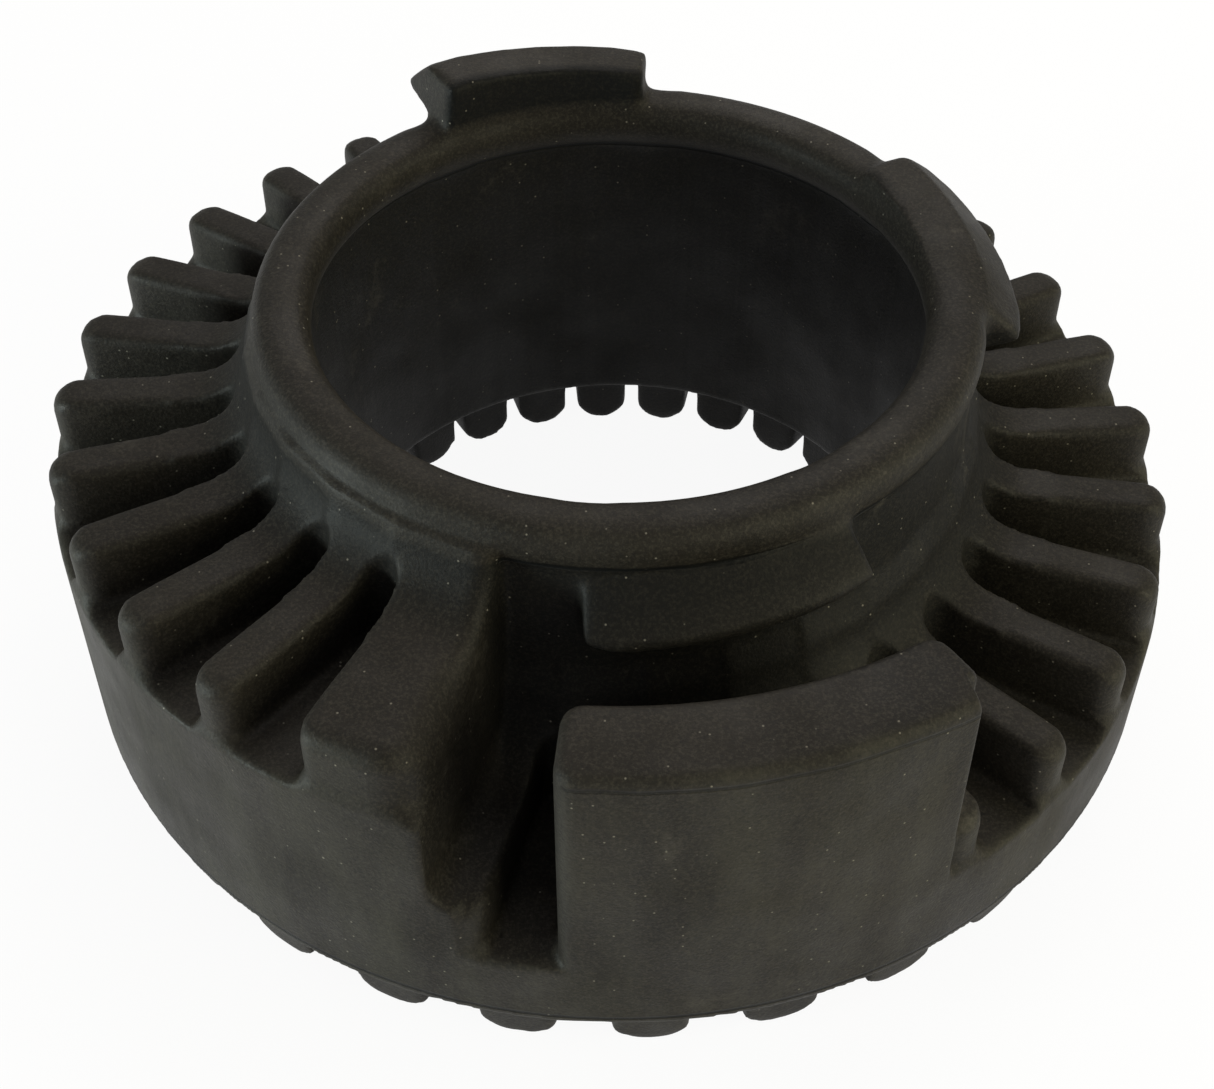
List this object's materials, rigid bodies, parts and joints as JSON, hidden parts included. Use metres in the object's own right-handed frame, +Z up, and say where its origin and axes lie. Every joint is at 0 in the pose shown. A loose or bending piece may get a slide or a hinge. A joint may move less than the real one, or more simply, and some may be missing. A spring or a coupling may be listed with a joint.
{
  "type": "coil spring isolator",
  "caption": "Round rubber seat for a coil spring: a bored collar with snap-over barbs on a flange whose ribbed top climbs one coil pitch to a step.",
  "frame": {"origin": "on the bore's axis, in the plane that the underside ribs stand on", "axes": "+Z up along the bore axis, from the underside to the collar's rim; the pictured front is -Y; seen from above the coil seat climbs counter-clockwise from its step at -106.6 degrees from +X"},
  "size_m": [0.15, 0.15, 0.0691],
  "materials": {
    "rubber": "matte moulded black rubber"
  },
  "bodies": {
    "root": {"rubber_isolator": "rubber"}
  },
  "joints": []
}
